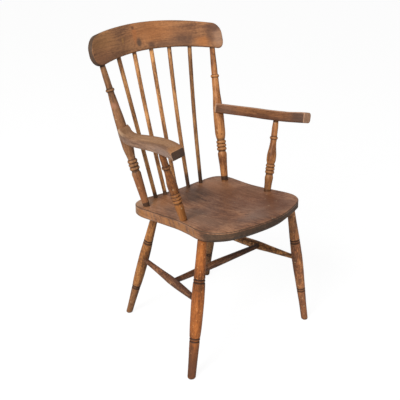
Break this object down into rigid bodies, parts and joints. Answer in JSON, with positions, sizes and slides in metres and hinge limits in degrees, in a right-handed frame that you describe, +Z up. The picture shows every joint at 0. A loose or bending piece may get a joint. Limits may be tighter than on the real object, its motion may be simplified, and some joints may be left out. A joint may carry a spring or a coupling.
{
  "type": "stick-back wooden armchair, worn and scuffed",
  "caption": "Worn wooden stick-back armchair: saddled seat on turned legs with an H stretcher, spindle back under a bent crest rail, and flat arms on turned supports.",
  "frame": {"origin": "centre of the bounding box on the floor, between the four feet", "axes": "+Z up; +X towards the sitter's left hand; the sitter faces -Y"},
  "size_m": [0.5328, 0.5842, 0.9317],
  "materials": {
    "seat_wood": "dark red-brown stain, worn to a satin sheen",
    "leg_wood": "orange-brown stain, satin, dark in the turned grooves",
    "stretcher_wood": "dark brown stain, satin",
    "post_wood": "orange-brown stain, satin",
    "spindle_wood": "orange-brown stain, satin, dark at the foot",
    "crest_wood": "patchy brown stain with orange and grey wear",
    "arm_wood": "greyed brown, worn dull where hands rest",
    "support_wood": "orange-brown stain, satin"
  },
  "bodies": {
    "root": {"seat": "seat_wood", "leg_front_right": "leg_wood", "leg_front_left": "leg_wood", "leg_rear_right": "leg_wood", "leg_rear_left": "leg_wood", "stretcher_right": "stretcher_wood", "stretcher_left": "stretcher_wood", "stretcher_cross": "stretcher_wood", "back_post_right": "post_wood", "back_post_left": "post_wood", "spindle_1": "spindle_wood", "spindle_2": "spindle_wood", "spindle_3": "spindle_wood", "spindle_4": "spindle_wood", "spindle_5": "spindle_wood", "crest_rail": "crest_wood", "arm_right": "arm_wood", "arm_left": "arm_wood", "arm_support_right": "support_wood", "arm_support_left": "support_wood"}
  },
  "joints": []
}
